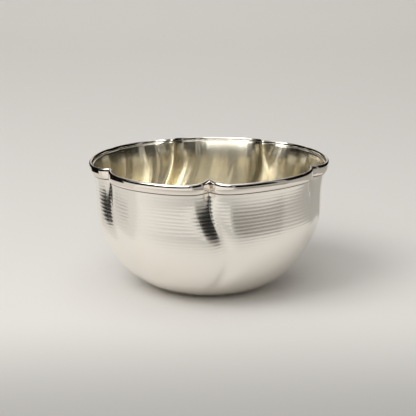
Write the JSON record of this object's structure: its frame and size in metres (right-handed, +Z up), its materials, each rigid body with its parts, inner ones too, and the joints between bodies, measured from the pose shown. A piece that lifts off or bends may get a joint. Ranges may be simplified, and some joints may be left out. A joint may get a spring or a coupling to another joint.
{
  "type": "silver bowl",
  "caption": "Small round silver bowl with a lobed edge, swept grooves down the wall, an applied moulded rim and a gilt inside.",
  "frame": {"origin": "middle of the flat base, on the surface that the bowl stands on", "axes": "+Z up along the bowl's axis, -Y towards the notch that faces the camera"},
  "size_m": [0.0904, 0.0891, 0.0489],
  "materials": {
    "silver": "silver with fine level tool lines, satin shine",
    "gilt": "pale gilding, polished",
    "rim_silver": "silver, polished"
  },
  "bodies": {
    "root": {"bowl_body": "silver", "gilt_lining": "gilt", "rim_moulding_1": "rim_silver", "rim_moulding_2": "rim_silver", "rim_moulding_3": "rim_silver", "rim_moulding_4": "rim_silver", "rim_moulding_5": "rim_silver"}
  },
  "joints": []
}
